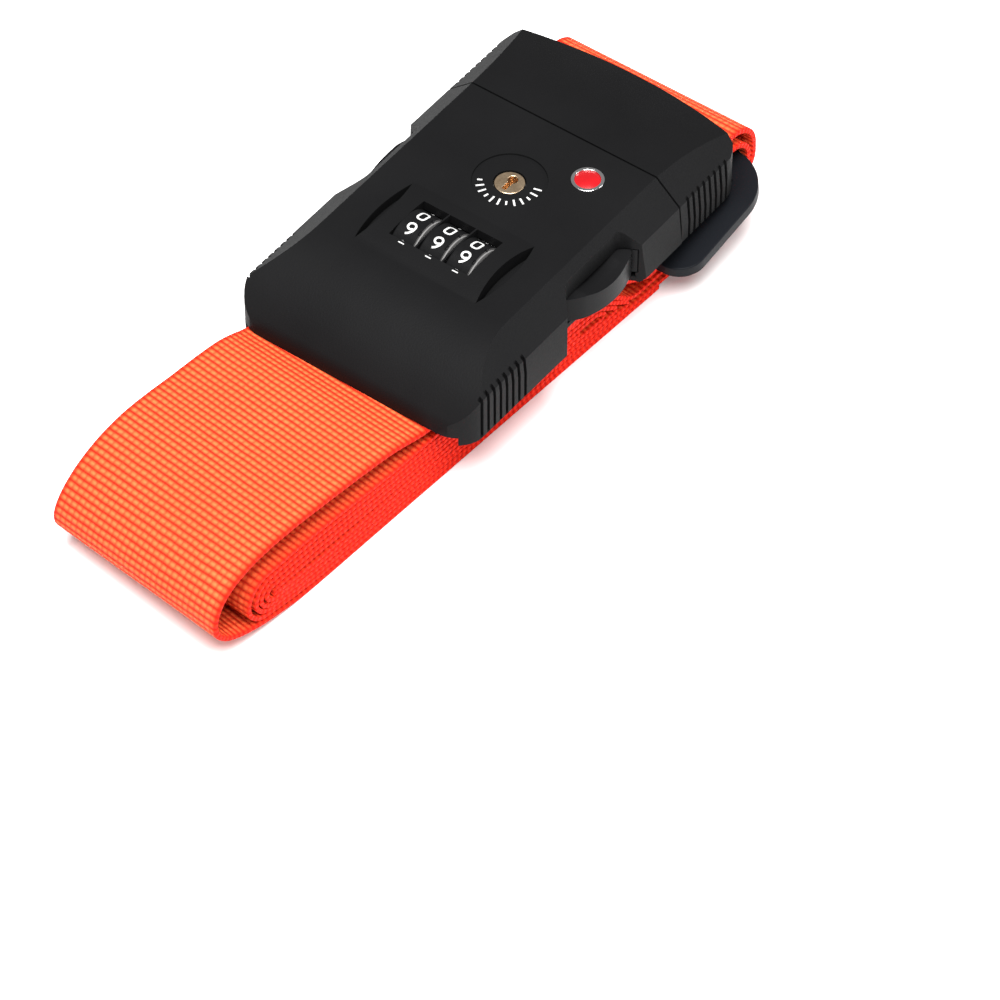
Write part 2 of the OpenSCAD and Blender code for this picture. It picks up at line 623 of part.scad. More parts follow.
// webbing on the plug: sewn round the slider's centre bar, outer loop, plug bar, inner loop,
// through the slider, then up on to the top of the coil under the housing
k = slider_t / 2 + web_t / 2;
run_z = lock_z - slide_gap - web_t / 2;
run_end = -70;
run_path = concat(
    [on_slider(1.5, k + 0.15), on_slider(-1.8, k + 0.15), on_slider(-3.2, k), on_slider(-4, k - 0.85),
     on_slider(-4.1, 0), on_slider(-4, 0.85 - k), on_slider(-3.2, -k), on_slider(-1.8, -k - 0.15),
     on_slider(3, -k - 0.4), on_slider(8, -k - 1.55),
     on_slider(13, -k - 1.75), on_slider(17, -k - 1.7)],
    [[35.3, 11.2], [36.5, 13.3], [36.6, 16], [36.2, 19.3], [34.6, 22.4], [31.8, 24.7], [28, 25.9]],
    arc([plug_bar_x, plug_bar_z], [bar_r + web_t / 2 + 0.1, bar_r + web_t / 2 + 0.1], 90, 270, 14),
    [[24, 21.4], [28.5, 21.6], [31.5, 20.5], [33.7, 18.2], [34.5, 15.5], [34, 12.9]],
    [on_slider(16, -k - 0.25), on_slider(12.2, -k - 0.3), on_slider(8.6, -k - 0.1), on_slider(7, -0.3),
     on_slider(5.6, 2.2), on_slider(2.4, k + 1.75), on_slider(-3.2, k + 1.75), on_slider(-5.8, 2.5),
     on_slider(-6.7, 0.3), on_slider(-7.9, 0.1 - k), on_slider(-11.6, -k - 0.35), on_slider(-15, -k - 0.4)],
    [[-3.5, 7.5], [-18.2, run_z], [run_end, run_z]]);
module webbing_plug_run() color("#ff6a2b") place() translate([0, plug_web_y, 0]) web_extrude()
    band(run_path, web_t);

housing_shell();
housing_cover();
cover_screws();
plug_shell();
plug_frame();
plug_screws();
release_arm_left();
release_arm_right();
number_wheel_1();
number_wheel_2();
number_wheel_3();
wheel_hub_1();
wheel_hub_2();
wheel_hub_3();
wheel_shaft();
shaft_spring();
detent_spring();
latch_plate();
latch_springs();
key_barrel();
key_plug();
key_cam();
cam_screw();
indicator_lens();
indicator_bezel();
reset_button();
slider();
webbing_coil();
webbing_wrap();
webbing_plug_run();
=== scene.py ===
import bpy
import bmesh
import math
from mathutils import Vector, Matrix


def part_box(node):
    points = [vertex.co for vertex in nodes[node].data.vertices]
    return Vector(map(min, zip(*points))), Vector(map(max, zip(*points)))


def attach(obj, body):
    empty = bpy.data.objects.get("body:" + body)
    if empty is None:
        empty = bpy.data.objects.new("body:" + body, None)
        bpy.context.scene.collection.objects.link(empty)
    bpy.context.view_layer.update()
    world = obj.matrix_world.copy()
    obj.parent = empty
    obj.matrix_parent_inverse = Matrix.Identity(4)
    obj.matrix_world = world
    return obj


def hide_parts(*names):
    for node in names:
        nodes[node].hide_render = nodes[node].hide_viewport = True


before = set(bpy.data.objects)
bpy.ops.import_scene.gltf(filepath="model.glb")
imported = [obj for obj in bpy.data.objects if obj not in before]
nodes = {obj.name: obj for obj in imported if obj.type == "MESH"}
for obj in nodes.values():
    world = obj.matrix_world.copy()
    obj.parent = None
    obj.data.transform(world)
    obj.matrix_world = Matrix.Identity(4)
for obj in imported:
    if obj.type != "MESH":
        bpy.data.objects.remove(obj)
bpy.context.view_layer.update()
mm = 0.001

# the lock's own frame: x = 0 at the seam, y = 0 on the lock's centre plane
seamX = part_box("housing_shell")[1].x
shellLow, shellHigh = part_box("housing_shell")
lockY = (shellLow.y + shellHigh.y) / 2


def at(x, y, z):
    return Vector((seamX + x * mm, lockY + y * mm, z * mm))


# materials
class Val:
    def __init__(self, shader, socket):
        self.shader = shader
        self.socket = socket

    def op(self, kind, other, flip=False):
        a, b = (other, self) if flip else (self, other)
        return self.shader.node("ShaderNodeMath", {"operation": kind}, {0: a, 1: b})

    def __add__(self, o):
        return self.op("ADD", o)

    def __radd__(self, o):
        return self.op("ADD", o, True)

    def __sub__(self, o):
        return self.op("SUBTRACT", o)

    def __rsub__(self, o):
        return self.op("SUBTRACT", o, True)

    def __mul__(self, o):
        return self.op("MULTIPLY", o)

    def __rmul__(self, o):
        return self.op("MULTIPLY", o, True)

    def __truediv__(self, o):
        return self.op("DIVIDE", o)

    def __rtruediv__(self, o):
        return self.op("DIVIDE", o, True)

    def __pow__(self, o):
        return self.op("POWER", o)


class Shader:
    def __init__(self, name):
        self.mat = bpy.data.materials.new(name)
        self.mat.use_nodes = True
        self.tree = self.mat.node_tree
        self.bsdf = self.tree.nodes["Principled BSDF"]
        self.count = 0

    def node(self, kind, settings=None, values=None, out=0):
        n = self.tree.nodes.new(kind)
        n.location = (-300 - 180 * (self.count // 6), 400 - 160 * (self.count % 6))
        self.count += 1
        for k, v in (settings or {}).items():
            setattr(n, k, v)
        for k, v in (values or {}).items():
            self.feed(n.inputs[k], v)
        return Val(self, n.outputs[out])

    def feed(self, socket, v):
        if isinstance(v, Val):
            self.tree.links.new(v.socket, socket)
        elif hasattr(socket.default_value, "__len__"):
            socket.default_value = (*v, 1.0) if len(v) == 3 and len(socket.default_value) == 4 else v
        else:
            socket.default_value = v

    def set(self, **values):
        for k, v in values.items():
            self.feed(self.bsdf.inputs[k.replace("_", " ")], v)
        return self

    def mix(self, f, a, b):
        n = self.tree.nodes.new("ShaderNodeMix")
        n.data_type = "RGBA"
        self.feed(n.inputs[0], f)
        self.feed(n.inputs[6], a)
        self.feed(n.inputs[7], b)
        return Val(self, n.outputs[2])

    def coords(self):
        return self.node("ShaderNodeTexCoord", out=3)

    def noise(self, scale, detail=2.0, rough=0.5, vector=None):
        return self.node("ShaderNodeTexNoise", None, {"Vector": vector or self.coords(), "Scale": scale,
                                                      "Detail": detail, "Roughness": rough})

    def bump(self, height, strength, distance):
        self.set(Normal=self.node("ShaderNodeBump", None,
                                  {"Height": height, "Strength": strength, "Distance": distance}))
        return self


def plastic(name, s):
    m = Shader(name)
    cloud = m.noise(s["cloud"], 3)
    grain = m.noise(s["grain"], 2, 0.6)
    m.set(Base_Color=m.mix(cloud, s["dark"], s["light"]),
          Roughness=s["rough"] + (grain - 0.5) * s["spread"] + (cloud - 0.5) * 0.06)
    m.bsdf.inputs["Specular IOR Level"].default_value = s["spec"]
    return m.bump(grain, s["bump"], 0.00012).mat


def metal(name, s):
    m = Shader(name)
    wearAndHighlight = m.noise(s["scale"], 4, 0.6)
    fine = m.noise(s["scale"] * 9, 2)
    m.set(Base_Color=m.mix(wearAndHighlight, s["dark"], s["light"]), Metallic=1.0,
          Roughness=s["rough"] + (fine - 0.5) * 0.15 + (wearAndHighlight - 0.5) * 0.12)
    return m.bump(fine, 0.1, 0.00005).mat


def webbingMaterial(name, s):
    # rows of weft ribs across the strap, crossed by warp cords, from the strap's own lengthways
    # and crossways measure in metres
    m = Shader(name)
    along = m.node("ShaderNodeAttribute", {"attribute_name": "along"}, out=2)
    across = m.node("ShaderNodeAttribute", {"attribute_name": "across"}, out=2)
    wob = m.noise(260, 2)
    la = (along + (wob - 0.5) * 0.0003) / s["rib"]
    wa = (across + (wob - 0.5) * 0.0002) / s["cord"]
    rib = m.node("ShaderNodeMath", {"operation": "SINE"}, {0: la * (2 * math.pi)}) * 0.5 + 0.5
    cord = m.node("ShaderNodeMath", {"operation": "SINE"}, {0: wa * (2 * math.pi)}) * 0.5 + 0.5
    height = (rib ** 0.7) * (0.45 + 0.55 * (cord ** 0.5))
    thread = m.noise(2600, 2, 0.6)
    shade = m.noise(35, 3)
    edge = m.node("ShaderNodeMath", {"operation": "ABSOLUTE"}, {0: across})
    # painted shade: the strap's edge faces and the last 1.4 mm of its faces take darker, redder side colours than the
    # top; their rib pattern follows the weave
    rim = m.node("ShaderNodeMapRange", None, {0: edge, 1: 0.0236, 2: 0.0250, 3: 0.0, 4: 1.0})
    # painted shade: the rib pattern is the weave, and its valleys take the darker gap colour while the crowns take
    # the lighter crown colour, keyed to the bump height
    face = m.mix((height * 1.1 + (thread - 0.5) * 0.3), s["gap"], s["crown"])
    face = m.mix((shade - 0.5) * 0.5 + 0.1, face, s["warm"])
    knurl = m.mix(rib * 0.8 + (thread - 0.4) * 0.5, s["side"], s["sideCrown"])
    m.set(Base_Color=m.mix(rim, face, knurl), Roughness=0.72 - (height - 0.5) * 0.15)
    m.bsdf.inputs["Specular IOR Level"].default_value = 0.1
    return m.bump(height + (thread - 0.5) * 0.25, 1.0, s["relief"]).mat


def wheelMaterial(name, y, s):
    # painted highlight: the rim on the -Y side of each wheel is painted light grey, standing in for light caught on
    # its edge
    m = Shader(name)
    grain = m.noise(s["grain"], 2, 0.6)
    where = m.node("ShaderNodeSeparateXYZ", None, {0: m.coords()}, out=1)
    rim = m.node("ShaderNodeMapRange", None, {0: where, 1: lockY + (y - s["rimFrom"]) * mm,
                                              2: lockY + (y - s["rimTo"]) * mm, 3: 0.0, 4: 1.0})
    m.set(Base_Color=m.mix(rim * s["wearAndHighlight"], m.mix(grain, s["dark"], s["light"]), s["rimHighlightColour"]),
          Roughness=0.3 + grain * 0.12)
    m.bsdf.inputs["Specular IOR Level"].default_value = s["spec"]
    return m.bump(grain, s["bump"], 0.0001).mat


blackLook = {"dark": (0.0038, 0.0038, 0.004), "light": (0.0066, 0.0066, 0.0069), "cloud": 40, "grain": 2300,
             "rough": 0.52, "spread": 0.2, "bump": 0.3, "spec": 0.05}
lockPlastic = plastic("lock plastic", blackLook)
armPlastic = plastic("arm plastic", {**blackLook, "rough": 0.36, "bump": 0.15, "light": (0.008, 0.008, 0.0084)})
sliderPlastic = plastic("slider plastic", {**blackLook, "dark": (0.004, 0.0046, 0.006),
                                          "light": (0.007, 0.0078, 0.0095), "rough": 0.4})
# rimFrom and rimTo bound the painted highlight band on each wheel's -Y rim, with its strength and light grey colour
# after them
wheelLook = {**blackLook, "bump": 0.1, "rimFrom": 2.72, "rimTo": 2.86, "wearAndHighlight": 0.55, "rimHighlightColour": (0.24, 0.235, 0.23)}
digitPaint = plastic("digit paint", {**blackLook, "dark": (0.42, 0.42, 0.41), "light": (0.55, 0.55, 0.54),
                                     "rough": 0.5, "bump": 0.1})
brass = metal("key brass", {"dark": (0.50, 0.33, 0.18), "light": (0.94, 0.74, 0.52), "scale": 320, "rough": 0.3})
zinc = metal("cast zinc", {"dark": (0.42, 0.42, 0.42), "light": (0.62, 0.62, 0.6), "scale": 200, "rough": 0.45})
steel = metal("spring steel", {"dark": (0.5, 0.5, 0.51), "light": (0.72, 0.72, 0.72), "scale": 300, "rough": 0.3})
chrome = metal("bezel chrome", {"dark": (0.72, 0.72, 0.72), "light": (0.88, 0.88, 0.88), "scale": 300, "rough": 0.15})
lensMat = Shader("lens red")
lensMat.set(Base_Color=lensMat.mix(lensMat.noise(400), (0.26, 0.002, 0.004), (0.36, 0.003, 0.006)),
            Roughness=0.2 + lensMat.noise(900) * 0.1, Coat_Weight=0.15)
lensRed = lensMat.mat
webbing = webbingMaterial("webbing", {"rib": 0.00155, "cord": 0.00165, "relief": 0.00035,
                                      # gap and crown: painted shade, the weave's valleys coloured darker than its rib
                                      # crowns
                                      "gap": (0.40, 0.009, 0.003), "crown": (0.78, 0.13, 0.040),
                                      # side and sideCrown: painted shade, the strap's edges coloured darker and
                                      # redder than its top
                                      "warm": (0.60, 0.030, 0.008), "side": (0.50, 0.006, 0.0016),
                                      "sideCrown": (0.78, 0.022, 0.005)})
print("materials ready")


# mesh helpers
def link(name, mesh, mat):
    ob = bpy.data.objects.new(name, mesh)
    bpy.context.scene.collection.objects.link(ob)
    mesh.materials.clear()
    mesh.materials.append(mat)
    return ob


def smooth(ob):
    for p in ob.data.polygons:
        p.use_smooth = True
    mod = ob.modifiers.new("normals", "WEIGHTED_NORMAL")
    mod.keep_sharp = True
    mod.weight = 80


# edge rounding of the moulded pieces, and how far the thumb pads bulge, in mm and degrees
edgeLook = {"weld": 0.01, "flat": 1.2, "segments": 3, "corner": 28}
padLook = {"behind": 15.5, "wall": 26.6, "ramp": 2.4, "bulge": 0.9}


def bevelled(node, name, mat, slotName, body, width):
    bm = bmesh.new()
    bm.from_mesh(nodes[node].data)
    if node.startswith("release_arm"):
        # the thumb pads bulge a little further than the solid that slides through the wall
        for v in bm.verts:
            y = (v.co.y - lockY) / mm
            past = abs(y) - padLook["wall"]
            if v.co.x < seamX - padLook["behind"] * mm and past > 0:
                v.co.y += math.copysign(padLook["bulge"] * mm * min(1, past / padLook["ramp"]), y)
    bmesh.ops.remove_doubles(bm, verts=bm.verts, dist=edgeLook["weld"] * mm)
    bmesh.ops.dissolve_limit(bm, angle_limit=math.radians(edgeLook["flat"]), verts=bm.verts, edges=bm.edges)
    bmesh.ops.recalc_face_normals(bm, faces=bm.faces)
    mesh = bpy.data.meshes.new(name)
    bm.to_mesh(mesh)
    bm.free()
    ob = link(name, mesh, mat)
    mod = ob.modifiers.new("edges", "BEVEL")
    mod.width = width * mm
    mod.segments = edgeLook["segments"]
    mod.limit_method = "ANGLE"
    mod.angle_limit = math.radians(edgeLook["corner"])
    mod.use_clamp_overlap = True
    smooth(ob)
    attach(ob, body)
    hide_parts(node)
    return ob


# rigid pieces: node, shown name, material, slot, body, edge width in mm
wheel = {"r": 7.6, "x": -43.7, "z": 28.7, "pitch": 7.3}
rigid = [
    ("housing_shell", "housing", lockPlastic, "lock_plastic", "housing", 0.7),
    ("plug_shell", "plug_head", lockPlastic, "lock_plastic", "plug", 0.7),
    ("housing_cover", "bottom_cover", lockPlastic, "lock_plastic", "housing", 0.15),
    ("plug_frame", "plug_tongue", lockPlastic, "lock_plastic", "plug", 0.2),
    ("release_arm_left", "arm_left_pad", armPlastic, "arm_plastic", "arm_left", 0.5),
    ("release_arm_right", "arm_right_pad", armPlastic, "arm_plastic", "arm_right", 0.5),
    *[("number_wheel_%d" % i, "wheel_%d" % i, wheelMaterial("wheel plastic %d" % i, (2 - i) * wheel["pitch"], wheelLook),
       "wheel_plastic", "wheel_%d" % i, 0.25) for i in (1, 2, 3)],
    ("key_plug", "key_cylinder", brass, "key_brass", "key", 0.2),
    ("indicator_bezel", "lens_ring", chrome, "bezel_chrome", "housing", 0.12),
    ("slider", "strap_slider", sliderPlastic, "slider_plastic", "plug", 0.8),
    ("reset_button", "reset_pin", armPlastic, "arm_plastic", "reset", 0.15),
]
for piece in rigid:
    bevelled(*piece)
plain = {"cover_screws": steel, "plug_screws": steel, "wheel_hub_1": zinc, "wheel_hub_2": zinc, "wheel_hub_3": zinc,
         "wheel_shaft": steel, "shaft_spring": steel, "detent_spring": steel, "latch_plate": zinc,
         "latch_springs": steel, "key_barrel": zinc, "key_cam": zinc, "cam_screw": steel,
         "indicator_lens": lensRed}
for node, mat in plain.items():
    nodes[node].data.materials.clear()
    nodes[node].data.materials.append(mat)
print("rigid pieces ready")


# webbing
def smoothPath(points):
    # Catmull-Rom curve through the points
    pts = [Vector(p) for p in points]
    pts = [pts[0] * 2 - pts[1]] + pts + [pts[-1] * 2 - pts[-2]]
    fine = []
    for i in range(1, len(pts) - 2):
        for k in range(12):
            t = k / 12
            a, b, c, d = pts[i - 1:i + 3]
            fine.append(0.5 * ((2 * b) + (c - a) * t + (2 * a - 5 * b + 4 * c - d) * t * t
                               + (3 * b - a - 3 * c + d) * t ** 3))
    fine.append(pts[-2])
    return fine


def evenly(fine, count):
    # the same curve in even steps, and its length
    acc = [0.0]
    for a, b in zip(fine, fine[1:]):
        acc.append(acc[-1] + (b - a).length)
    out = []
    j = 0
    for k in range(count):
        want = acc[-1] * k / (count - 1)
        while j < len(acc) - 2 and acc[j + 1] < want:
            j += 1
        span = acc[j + 1] - acc[j] or 1
        out.append(fine[j].lerp(fine[j + 1], (want - acc[j]) / span))
    return out, acc[-1]


def strip(name, pathAt, s, place, body, cadNodes):
    # a band of webbing: pathAt(q) gives its side view for q = 0 at +Y to 1 at -Y
    sides = s["sides"]
    lines = []
    fine0 = smoothPath(pathAt(0.5))
    count = max(20, int(sum((b - a).length for a, b in zip(fine0, fine0[1:])) / s["step"]))
    for j in range(sides + 1):
        pts, length = evenly(smoothPath(pathAt(j / sides)), count)
        lines.append((pts, length))
    mid = lines[sides // 2][1]
    bm = bmesh.new()
    along = bm.verts.layers.float.new("along")
    across = bm.verts.layers.float.new("across")
    bmesh.ops.create_grid(bm, x_segments=count - 1, y_segments=sides, size=1.0)
    bm.verts.ensure_lookup_table()
    for v in bm.verts:
        i = round((v.co.x + 1) / 2 * (count - 1))
        j = round((v.co.y + 1) / 2 * sides)
        p = lines[j][0][i]
        y = s["width"] * (0.5 - j / sides)
        v[along] = mid * i / (count - 1) * mm
        v[across] = y * mm
        v.co = place(p.x, y, p.y)
    bmesh.ops.recalc_face_normals(bm, faces=bm.faces)
    mesh = bpy.data.meshes.new(name)
    bm.to_mesh(mesh)
    bm.free()
    ob = link(name, mesh, webbing)
    thick = ob.modifiers.new("thickness", "SOLIDIFY")
    thick.thickness = s["thick"] * mm
    thick.offset = 0
    soft = ob.modifiers.new("selvedge", "BEVEL")
    soft.width = 0.4 * mm
    soft.segments = 2
    soft.limit_method = "ANGLE"
    soft.angle_limit = math.radians(60)
    for p in mesh.polygons:
        p.use_smooth = True
    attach(ob, body)
    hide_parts(*cadNodes)
    mid * mm
    print(name, "length", round(mid, 1), "mm")
    return ob


# the webbing of the roll lies askew under the lock
yaw = math.radians(-3.65)
webY = -1.9


def onRoll(x, y, z):
    return at(x * math.cos(yaw) - y * math.sin(yaw), webY + x * math.sin(yaw) + y * math.cos(yaw), z)


def onPlug(x, y, z):
    return at(x, webY + y, z)


coilLook = {"width": 50.0, "thick": 1.06, "half": 0.66, "step": 1.6, "gapPitch": 1.36, "turns": 5, "near": 134.6,
            "top": 15.1, "low": 1.45, "tail": 11.5, "sides": 8}


def coilPath(q):
    # turns lie close under the lock and loosen towards the near nose
    s = coilLook
    p, half = s["gapPitch"], s["half"]
    slope = Vector((-13.0, 9.7)).normalized()
    inward = Vector((-slope.y, slope.x))
    if inward.x > 0:
        inward = -inward
    pts = [(-21.6, s["top"] - half - 0.02)]
    for k in range(s["turns"]):
        zt, zb = s["top"] - half - p * k, s["low"] + half + p * k
        noseTop, noseLow = 16.3 - 1.62 * k, 4.0 + 1.12 * k
        rz = (noseTop - noseLow) / 2
        rx = rz * 1.02
        cx = -s["near"] + 1.95 * k + rx + 0.3 * math.sin(k * 1.7)
        for x in ((-40, -60, -80) if k == 0 else (-30, -50, -70)):
            pts.append((x, zt + 0.08 * math.sin(x * 0.21 + k)))
        pts += [(-90, zt + 0.12 * (noseTop - zt)), (-103, zt + 0.6 * (noseTop - zt)), (-115, noseTop)]
        mid = (noseTop + noseLow) / 2
        for a in range(90, 271, 15 if k < 3 else 30):
            pts.append((cx + rx * math.cos(math.radians(a)), mid + rz * math.sin(math.radians(a))))
        pts += [(-117, zb + 0.28 * (noseLow - zb)), (-105, zb), (-60, zb + 0.06 * math.sin(k * 2.1)), (-30, zb)]
        if k == s["turns"] - 1:
            pts.append((-26, zb))
            break
        nextTop = s["top"] - half - p * (k + 1)
        if k == 0:
            n = s["tail"] - 2.0
            pts += [(-7, zb), (n, zb), (n + 1.15, zb + 0.55), (n + 1.3, zb + 1.4), (n + 0.6, zb + 2.3),
                    (n - 1.5, zb + 2.6), (0, zb + 2.6)]
            lineA = Vector((-7.6, zb + 2.7))
            pts.append(tuple(lineA))
        else:
            lineA = Vector((-7.2, 5.4)) + inward * (half + p * k)
            low = lineA + slope * ((zb + 0.9 - lineA.y) / slope.y)
            pts += [(low.x - 3.0, zb), (low.x - 0.5, zb + 0.12), (low.x + 0.1, zb + 0.9)]
        top = lineA + slope * ((nextTop - 0.7 - lineA.y) / slope.y)
        middle = (Vector(pts[-1]) + top) / 2
        pts += [tuple(middle), tuple(top), (top.x - 2.2, nextTop)]
    return pts


# side view of the outer turn along its +Y edge and along its -Y edge
wrapLeft = [(-76.0, 18.2), (-80.5, 18.6), (-88, 21.2), (-96, 22.2), (-104, 22.6), (-112, 23.2), (-119, 23.2),
            (-126, 22.0), (-132, 19.7), (-136.5, 16.8), (-139.6, 13.6), (-141, 10.6), (-140.7, 7.7), (-138.6, 5.6),
            (-134, 3.6), (-128, 1.9), (-121, 0.9), (-113, 0.66)]
wrapRight = [(-76.0, 18.2), (-80.5, 18.9), (-88, 20.8), (-96, 21.9), (-104, 22.7), (-112, 23.4), (-119, 23.9),
             (-127, 24.0), (-134, 23.2), (-139.5, 21.3), (-143, 18.3), (-144.6, 14.7), (-144.5, 11.4), (-142.9, 8.5),
             (-139.3, 5.8), (-133, 3.3), (-125, 1.6), (-115, 0.66)]


wrapLook = {"width": 50.0, "thick": 1.3, "step": 1.2, "sides": 16}
runLook = {"width": 50.0, "thick": 1.28, "step": 0.8, "sides": 10, "stack": 2.15}


def wrapPath(q):
    # round the housing's bar, over the near nose and back along the floor
    out = []
    for a in range(170, -91, -26):
        t = math.radians(a)
        out.append((-71.8 + 2.45 * math.cos(t), 21.4 + 2.45 * math.sin(t)))
    out += [tuple(Vector(a).lerp(Vector(b), q)) for a, b in zip(wrapLeft, wrapRight)]
    return out + [(-90, 0.66), (-40, 0.66), (2.0, 0.66)]


# the slider's own side view: a along it, b square to it
sliderMid = Vector((15.4, 12.6))
tilt = math.radians(8)


def onSlider(a, b):
    return (sliderMid.x + a * math.cos(tilt) - b * math.sin(tilt),
            sliderMid.y + a * math.sin(tilt) + b * math.cos(tilt))


def runPath(q):
    # sewn round the slider's middle bar, round the plug's bar and back through the slider
    k = runLook["stack"]
    out = [onSlider(1.5, k + 0.15), onSlider(-1.8, k + 0.15), onSlider(-3.2, k), onSlider(-4, k - 0.85),
           onSlider(-4.1, 0), onSlider(-4, 0.85 - k), onSlider(-3.2, -k), onSlider(-1.8, -k - 0.15),
           onSlider(3, -k - 0.4), onSlider(8, -k - 1.55), onSlider(13, -k - 1.75), onSlider(17, -k - 1.7)]
    out += [(35.3, 11.2), (36.5, 13.3), (36.6, 16), (36.2, 19.3), (34.6, 22.4), (31.8, 24.7), (28, 25.9)]
    for i in range(8):
        a = math.radians(90 + 180 * i / 7)
        out.append((19.45 + 2.45 * math.cos(a), 23.6 + 2.45 * math.sin(a)))
    out += [(24, 21.4), (28.5, 21.6), (31.5, 20.5), (33.7, 18.2), (34.5, 15.5), (34, 12.9)]
    out += [onSlider(16, -k - 0.25), onSlider(12.2, -k - 0.3), onSlider(8.6, -k - 0.1), onSlider(7, -0.3),
            onSlider(5.6, 2.2), onSlider(2.4, k + 1.75), onSlider(-3.2, k + 1.75), onSlider(-5.8, 2.5),
            onSlider(-6.7, 0.3), onSlider(-7.9, 0.1 - k), onSlider(-11.6, -k - 0.35), onSlider(-15, -k - 0.4)]
    out += [(-3.5, 7.5), (-10.8, 11.8), (-17.4, 15.7), (-19.8, 16.05), (-45, 16.05), (-70, 16.05)]
    return out


strip("webbing_roll", coilPath, coilLook, onRoll, "housing", ["webbing_coil"])
strip("webbing_outer_turn", wrapPath, wrapLook, onRoll, "housing", ["webbing_wrap"])
strip("webbing_plug_loop", runPath, runLook, onPlug, "plug", ["webbing_plug_run"])
print("webbing ready")


# digits on the wheels
digitLook = {"height": 2.9, "pen": 0.085, "lift": 0.03, "first": 18}
strokes = {
    0: [(0, 1), (-0.2, 0.97), (-0.31, 0.82), (-0.32, 0.5), (-0.31, 0.18), (-0.2, 0.03), (0, 0), (0.2, 0.03),
        (0.31, 0.18), (0.32, 0.5), (0.31, 0.82), (0.2, 0.97), (0, 1)],
    1: [(-0.2, 0.78), (-0.05, 0.88), (0.06, 1), (0.06, 0.6), (0.06, 0)],
    2: [(-0.32, 0.8), (-0.2, 0.97), (0.02, 1), (0.25, 0.95), (0.31, 0.75), (0.18, 0.52), (-0.1, 0.27), (-0.33, 0.02),
        (0, 0), (0.34, 0)],
    3: [(-0.31, 0.9), (0, 1), (0.27, 0.9), (0.28, 0.68), (0.02, 0.53), (0.28, 0.42), (0.32, 0.17), (0.05, 0),
        (-0.32, 0.1)],
    4: [(0.16, 0), (0.16, 0.5), (0.16, 1), (-0.1, 0.62), (-0.36, 0.26), (0, 0.25), (0.36, 0.25)],
    5: [(0.3, 1), (0, 1), (-0.26, 1), (-0.3, 0.58), (0.05, 0.64), (0.3, 0.48), (0.3, 0.16), (0.05, 0), (-0.31, 0.07)],
    6: [(0.2, 1), (-0.05, 0.85), (-0.27, 0.55), (-0.31, 0.22), (-0.15, 0.02), (0.1, 0), (0.31, 0.16), (0.29, 0.44),
        (0.05, 0.56), (-0.22, 0.44)],
    7: [(-0.32, 1), (0, 1), (0.32, 1), (0.15, 0.6), (-0.08, 0)],
    8: [(0, 0.53), (-0.25, 0.68), (-0.24, 0.92), (0, 1), (0.24, 0.92), (0.25, 0.68), (0, 0.53), (-0.29, 0.36),
        (-0.28, 0.1), (0, 0), (0.28, 0.1), (0.29, 0.36), (0.04, 0.5)],
}
strokes[9] = [(-x, 1 - y) for x, y in strokes[6]]


def digitMesh(n, height):
    # one pen line of even breadth
    pen = digitLook["pen"] * height
    line = [p * height for p in smoothPath([(x, y - 0.5) for x, y in strokes[n]])][::3]
    closed = (line[0] - line[-1]).length < 0.02
    if closed:
        line = line[:-1]
    bm = bmesh.new()
    rows = []
    for i, p in enumerate(line):
        a = line[i - 1] if i or closed else p
        b = line[(i + 1) % len(line)] if i < len(line) - 1 or closed else p
        t = (b - a).normalized()
        side = Vector((-t.y, t.x)) * pen
        rows.append([bm.verts.new((*(p + side * k), 0)) for k in (-1, 1)])
    for i in range(len(rows) - (0 if closed else 1)):
        a, b = rows[i], rows[(i + 1) % len(rows)]
        bm.faces.new((a[0], b[0], b[1], a[1]))
    mesh = bpy.data.meshes.new("digit")
    bm.to_mesh(mesh)
    bm.free()
    return mesh


def digitsOn(index):
    bm = bmesh.new()
    for n in range(10):
        start = len(bm.verts)
        mesh = digitMesh(n, digitLook["height"])
        bm.from_mesh(mesh)
        bpy.data.meshes.remove(mesh)
        bm.verts.ensure_lookup_table()
        turn = math.radians(digitLook["first"] + 36 * n)
        for v in bm.verts[start:]:
            a = turn + v.co.y / wheel["r"]
            r = wheel["r"] + digitLook["lift"]
            v.co = at(wheel["x"] + r * math.sin(a), (2 - index) * wheel["pitch"] - v.co.x,
                      wheel["z"] + r * math.cos(a))
    bmesh.ops.remove_doubles(bm, verts=bm.verts, dist=0.000002)
    bmesh.ops.recalc_face_normals(bm, faces=bm.faces)
    hub = at(wheel["x"], (2 - index) * wheel["pitch"], wheel["z"])
    for f in bm.faces:
        away = f.calc_center_median() - hub
        if f.normal.dot(away) < 0:
            f.normal_flip()
    mesh = bpy.data.meshes.new("digits_%d" % index)
    bm.to_mesh(mesh)
    bm.free()
    ob = link("digits_%d" % index, mesh, digitPaint)
    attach(ob, "wheel_%d" % index)
    return ob


for index in (1, 2, 3):
    digitsOn(index)
print("digits ready")


# tick marks round the key and one index mark in front of each wheel
def boxMesh(bm, centre, size, turn=0.0):
    made = bmesh.ops.create_cube(bm, size=1.0)["verts"]
    m = Matrix.Translation(centre) @ Matrix.Rotation(turn, 4, "Z") @ Matrix.Diagonal((*[v * mm for v in size], 1))
    bmesh.ops.transform(bm, matrix=m, verts=made)


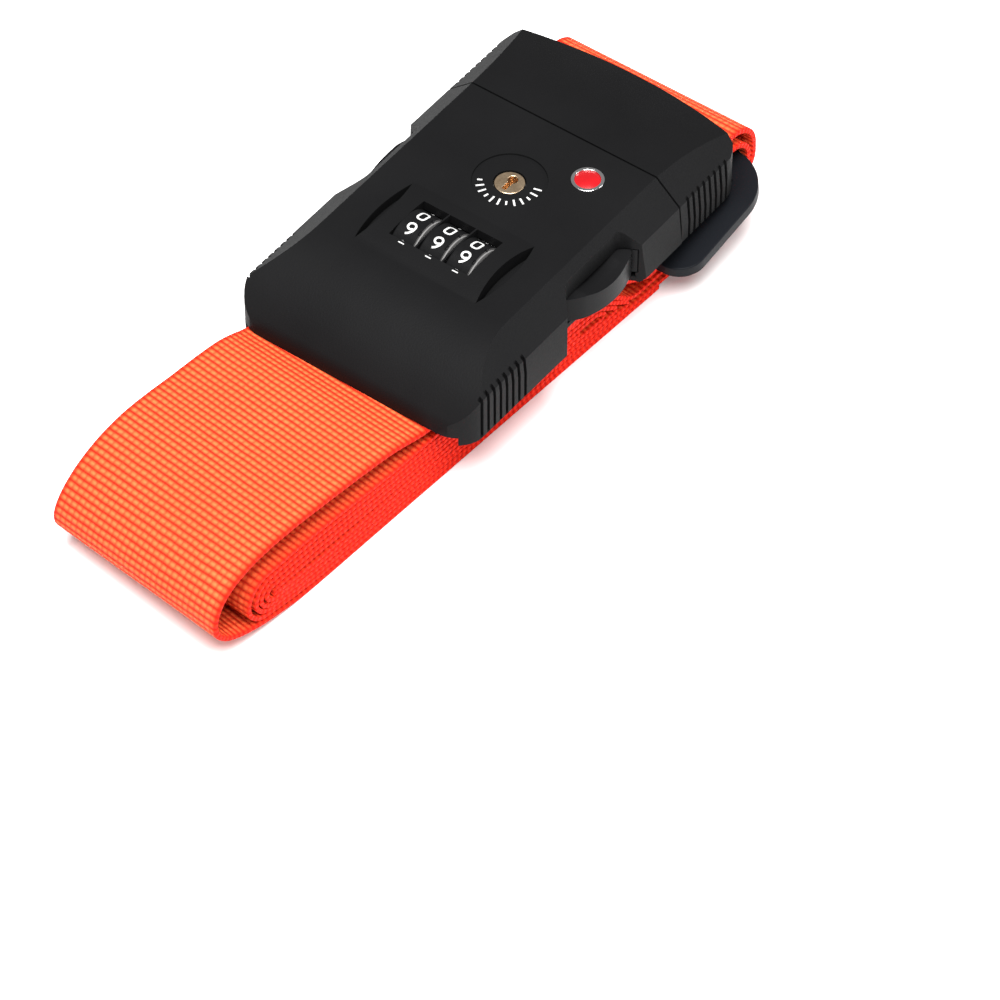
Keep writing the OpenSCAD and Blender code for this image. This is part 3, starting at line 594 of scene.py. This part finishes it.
ticks = {"keyX": -19.8, "z": 33.71, "from": 120, "to": 285, "count": 12, "r": 6.6, "long": 1.9, "wide": 0.42}
indexMark = {"x": -50.0, "shift": -0.4, "z": 35.02, "size": (0.3, 1.5, 0.08)}
bm = bmesh.new()
for i in range(ticks["count"]):
    a = math.radians(ticks["from"] + (ticks["to"] - ticks["from"]) * i / (ticks["count"] - 1))
    boxMesh(bm, at(ticks["keyX"] + ticks["r"] * math.cos(a), ticks["r"] * math.sin(a), ticks["z"]),
            (ticks["long"] * (1 if i % 3 else 0.6), ticks["wide"], 0.06), a)
for i in (-1, 0, 1):
    boxMesh(bm, at(indexMark["x"], i * wheel["pitch"] + indexMark["shift"], indexMark["z"]), indexMark["size"])
mesh = bpy.data.meshes.new("index_marks")
bm.to_mesh(mesh)
bm.free()
marks = link("index_marks", mesh, digitPaint)
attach(marks, "housing")
print("marks ready")


# floor, lights, camera
floorMat = Shader("floor")
floorMat.set(Base_Color=floorMat.mix(floorMat.noise(3), (0.80, 0.80, 0.80), (0.84, 0.84, 0.84)),
             Roughness=0.6 + floorMat.noise(6) * 0.1)
bm = bmesh.new()
bmesh.ops.create_grid(bm, x_segments=1, y_segments=1, size=3.0)
mesh = bpy.data.meshes.new("floor")
bm.to_mesh(mesh)
bm.free()
floor = link("floor", mesh, floorMat.mat)

world = bpy.data.worlds.new("studio")
world.use_nodes = True
world.node_tree.nodes["Background"].inputs[0].default_value = (1, 1, 1, 1)
world.node_tree.nodes["Background"].inputs[1].default_value = 0.25
bpy.context.scene.world = world


def light(name, where, aim, size, power):
    data = bpy.data.lights.new(name, "AREA")
    data.shape = "RECTANGLE"
    data.size, data.size_y = size
    data.energy = power
    ob = bpy.data.objects.new(name, data)
    bpy.context.scene.collection.objects.link(ob)
    ob.location = where
    ob.rotation_euler = (Vector(aim) - Vector(where)).to_track_quat("-Z", "Y").to_euler()


light("key light", (-0.3, -0.2, 1.15), (-0.03, 0, 0), (0.9, 0.9), 48)
light("left light", (-0.95, 0.15, 0.5), (-0.03, 0, 0), (0.5, 0.5), 2)
light("right sheen light", (0.5, -0.62, 0.42), (0, 0, 0.02), (0.35, 0.3), 3)

az, el, away = math.radians(-53.38), math.radians(47.9), 1.15253
target = at(-80.79, -42.69, 12)
back = Vector((math.sin(az) * math.cos(el), -math.cos(az) * math.cos(el), math.sin(el)))
camData = bpy.data.cameras.new("camera")
camData.sensor_width = 36
camData.lens = 194.69
camera = bpy.data.objects.new("camera", camData)
bpy.context.scene.collection.objects.link(camera)
camera.location = target + back * away
camera.rotation_euler = (-back).to_track_quat("-Z", "Y").to_euler()
camData.clip_end = 20
bpy.context.scene.camera = camera
bpy.context.scene.view_settings.view_transform = "Standard"

print("stage ready")
